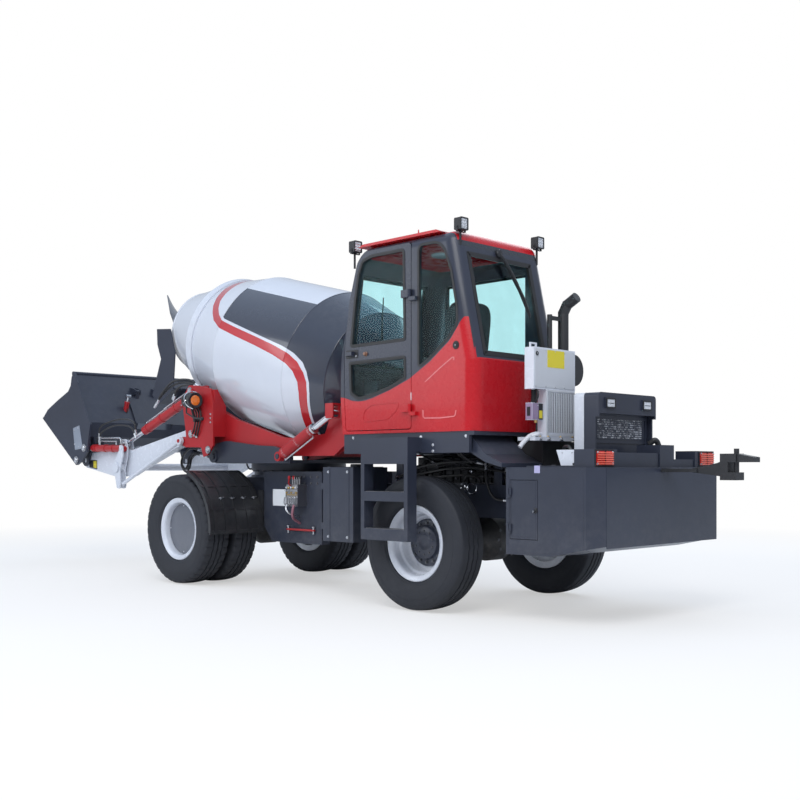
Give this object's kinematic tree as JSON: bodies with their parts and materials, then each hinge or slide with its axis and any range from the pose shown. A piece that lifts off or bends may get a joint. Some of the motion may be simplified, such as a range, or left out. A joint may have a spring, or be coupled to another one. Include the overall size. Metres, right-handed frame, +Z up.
{
  "type": "self-loading concrete mixer",
  "caption": "Articulated concrete mixer on wheels with a slewing, tilting drum, a driver's cab and a hydraulic loading bucket.",
  "frame": {"origin": "on the ground under the middle of the machine, parked straight with the bucket carried low", "axes": "+X ahead towards the bucket, +Y to the machine's left (the cab door's side), +Z up"},
  "size_m": [8.539, 2.26, 3.0956],
  "materials": {
    "white_paint": "satin white paint",
    "dark_paint": "satin dark-grey paint",
    "red_paint": "gloss red paint",
    "yellow_paint": "gloss yellow paint",
    "black_metal": "matt black paint",
    "steel": "bare worked steel",
    "chromed": "chromed rod",
    "tyre_rubber": "dusty black rubber",
    "clear_glass": "clear glass",
    "seat_cover": "black woven cover",
    "black_plastic": "moulded black plastic",
    "lamp_plastic": "moulded lens"
  },
  "bodies": {
    "rear_carrier": {"rear_frame": "dark_paint", "articulation_pin": "steel", "rear_axle": "dark_paint", "rear_box": "dark_paint", "rear_deck": "dark_paint", "tail_lamps": "lamp_plastic", "tow_coupling": "black_metal", "engine_block": "dark_paint", "hood": "white_paint", "hood_tail": "dark_paint", "oil_cooler": "white_paint", "exhaust": "black_metal", "cab_lower": "red_paint", "cab_pillars": "dark_paint", "cab_roof": "red_paint", "cab_glass": "clear_glass", "driver_seat": "seat_cover", "controls": "black_plastic", "cab_platform": "dark_paint", "step_ladder": "dark_paint", "side_tanks": "dark_paint", "work_lamps": "black_plastic"},
    "cab_door": {"cab_door": "red_paint", "door_glass": "clear_glass"},
    "locker_door": {"locker_door": "dark_paint"},
    "front_carrier": {"front_frame": "dark_paint", "front_axle": "dark_paint", "mudguards": "black_plastic", "valve_bank": "steel"},
    "slewing_base": {"slew_base": "dark_paint"},
    "cradle": {"cradle": "red_paint", "drum_drive": "steel", "drum_rollers": "steel", "chute": "dark_paint", "side_lamps": "black_plastic"},
    "drum": {"drum": "white_paint"},
    "lift_arms": {"lift_arms": "white_paint"},
    "bell_cranks": {"bell_cranks": "white_paint"},
    "link_rods": {"link_rods": "white_paint"},
    "lift_barrels": {"lift_barrels": "red_paint"},
    "lift_rods": {"lift_rods": "chromed"},
    "bucket_barrels": {"bucket_barrels": "red_paint"},
    "bucket_rods": {"bucket_rods": "chromed"},
    "tilt_barrels": {"tilt_barrels": "red_paint"},
    "tilt_rods": {"tilt_rods": "chromed"},
    "bucket": {"bucket": "dark_paint"},
    "bucket_gate": {"bucket_gate": "dark_paint"},
    "steer_left_barrel": {"steer_left_barrel": "dark_paint"},
    "steer_left_rod": {"steer_left_rod": "chromed"},
    "steer_right_barrel": {"steer_right_barrel": "dark_paint"},
    "steer_right_rod": {"steer_right_rod": "chromed"},
    "rear_left_wheel": {"rear_left_tyre": "tyre_rubber", "rear_left_wheel": "white_paint"},
    "rear_right_wheel": {"rear_right_tyre": "tyre_rubber", "rear_right_wheel": "white_paint"},
    "front_left_wheels": {"front_left_tyres": "tyre_rubber", "front_left_wheel": "white_paint"},
    "front_right_wheels": {"front_right_tyres": "tyre_rubber", "front_right_wheel": "white_paint"}
  },
  "joints": [
    {"name": "articulation", "type": "hinge", "parent": "rear_carrier", "child": "front_carrier", "pos_m": [-0.39, 0, 0.76], "axis": [0, 0, 1], "range_deg": [-25, 25]},
    {"name": "slew", "type": "hinge", "parent": "front_carrier", "child": "slewing_base", "pos_m": [0.61, 0, 1.09], "axis": [0, 0, 1], "range_deg": [-90, 90]},
    {"name": "cradle_tilt", "type": "hinge", "parent": "slewing_base", "child": "cradle", "pos_m": [1.14, 0, 1.227], "axis": [0, 1, 0], "range_deg": [0, 15]},
    {"name": "drum_spin", "type": "hinge", "parent": "cradle", "child": "drum", "pos_m": [0.989, 0, 2.296], "axis": [-0.9689, 0, -0.2475], "continuous": true},
    {"name": "arm_lift", "type": "hinge", "parent": "cradle", "child": "lift_arms", "pos_m": [1.332, 0, 1.461], "axis": [0, -1, 0], "range_deg": [-20, 38]},
    {"name": "bell_crank_swing", "type": "hinge", "parent": "lift_arms", "child": "bell_cranks", "pos_m": [2.697, 0, 1.119], "axis": [0, -1, 0], "range_deg": [-7.6, 4]},
    {"name": "link_swing", "type": "hinge", "parent": "cradle", "child": "link_rods", "pos_m": [1.54, 0, 1.385], "axis": [0, -1, 0], "range_deg": [-23.4, 44.46]},
    {"name": "lift_barrel_swing", "type": "hinge", "parent": "cradle", "child": "lift_barrels", "pos_m": [1.36, 0, 1.875], "axis": [0, -1, 0], "range_deg": [-19.7, 37.43]},
    {"name": "lift_rod_slide", "type": "slide", "parent": "lift_barrels", "child": "lift_rods", "axis": [0.9389, 0, -0.3443], "range_m": [-0.258, 0.1358]},
    {"name": "bucket_dump", "type": "hinge", "parent": "lift_arms", "child": "bucket", "pos_m": [3.48, 0, 1.195], "axis": [0, 1, 0], "range_deg": [0, 55]},
    {"name": "bucket_barrel_swing", "type": "hinge", "parent": "bell_cranks", "child": "bucket_barrels", "pos_m": [2.61, 0, 1.318], "axis": [0, -1, 0], "range_deg": [0, 5.48]},
    {"name": "bucket_rod_slide", "type": "slide", "parent": "bucket_barrels", "child": "bucket_rods", "axis": [0.9997, 0, 0.0243], "range_m": [0, 0.1864]},
    {"name": "tilt_barrel_swing", "type": "hinge", "parent": "slewing_base", "child": "tilt_barrels", "pos_m": [0.04, 0, 1.219], "axis": [0, 1, 0], "range_deg": [0, 29.2]},
    {"name": "tilt_rod_slide", "type": "slide", "parent": "tilt_barrels", "child": "tilt_rods", "axis": [-0.8925, 0, 0.4511], "range_m": [0, 0.1818]},
    {"name": "bucket_gate_swing", "type": "hinge", "parent": "bucket", "child": "bucket_gate", "pos_m": [3.379, 0, 1.999], "axis": [0, 1, 0], "range_deg": [0, 40]},
    {"name": "steer_left_barrel_swing", "type": "hinge", "parent": "rear_carrier", "child": "steer_left_barrel", "pos_m": [-0.96, 0.25, 0.8], "axis": [0, 0, 1], "range_deg": [-8.37, 8.37]},
    {"name": "steer_left_rod_slide", "type": "slide", "parent": "steer_left_barrel", "child": "steer_left_rod", "axis": [0.9999, 0.012, 0], "range_m": [-0.1227, 0.1227]},
    {"name": "steer_right_barrel_swing", "type": "hinge", "parent": "rear_carrier", "child": "steer_right_barrel", "pos_m": [-0.96, -0.25, 0.8], "axis": [0, 0, 1], "range_deg": [-8.37, 8.37]},
    {"name": "steer_right_rod_slide", "type": "slide", "parent": "steer_right_barrel", "child": "steer_right_rod", "axis": [0.9999, -0.012, 0], "range_m": [-0.1227, 0.1227]},
    {"name": "rear_left_wheel_spin", "type": "hinge", "parent": "rear_carrier", "child": "rear_left_wheel", "pos_m": [-1.89, 0.819, 0.527], "axis": [0, 1, 0], "continuous": true},
    {"name": "rear_right_wheel_spin", "type": "hinge", "parent": "rear_carrier", "child": "rear_right_wheel", "pos_m": [-1.89, -0.819, 0.527], "axis": [0, 1, 0], "continuous": true},
    {"name": "front_left_wheel_spin", "type": "hinge", "parent": "front_carrier", "child": "front_left_wheels", "pos_m": [1.12, 0.813, 0.527], "axis": [0, 1, 0], "continuous": true},
    {"name": "front_right_wheel_spin", "type": "hinge", "parent": "front_carrier", "child": "front_right_wheels", "pos_m": [1.12, -0.813, 0.527], "axis": [0, 1, 0], "continuous": true},
    {"name": "cab_door_swing", "type": "hinge", "parent": "rear_carrier", "child": "cab_door", "pos_m": [-1.892, 0.98, 2], "axis": [0, 0, 1], "range_deg": [0, 75]},
    {"name": "locker_door_swing", "type": "hinge", "parent": "rear_carrier", "child": "locker_door", "pos_m": [-2.795, 0.856, 0.815], "axis": [0, 0, -1], "range_deg": [0, 100]}
  ],
  "couplings": [
    {"joint": "steer_left_barrel_swing", "follows": "articulation", "ratio": 0.3346},
    {"joint": "steer_left_rod_slide", "follows": "articulation", "m_per_rad": -0.2813},
    {"joint": "steer_right_barrel_swing", "follows": "articulation", "ratio": 0.3346},
    {"joint": "steer_right_rod_slide", "follows": "articulation", "m_per_rad": 0.2813},
    {"joint": "bell_crank_swing", "follows": "arm_lift", "ratio": -0.2},
    {"joint": "link_swing", "follows": "arm_lift", "ratio": 1.17},
    {"joint": "lift_barrel_swing", "follows": "arm_lift", "ratio": 0.985},
    {"joint": "lift_rod_slide", "follows": "arm_lift", "m_per_rad": -0.389},
    {"joint": "bucket_barrel_swing", "follows": "bucket_dump", "ratio": 0.0997},
    {"joint": "bucket_rod_slide", "follows": "bucket_dump", "m_per_rad": 0.1942},
    {"joint": "tilt_barrel_swing", "follows": "cradle_tilt", "ratio": 1.9464},
    {"joint": "tilt_rod_slide", "follows": "cradle_tilt", "m_per_rad": 0.6943}
  ]
}
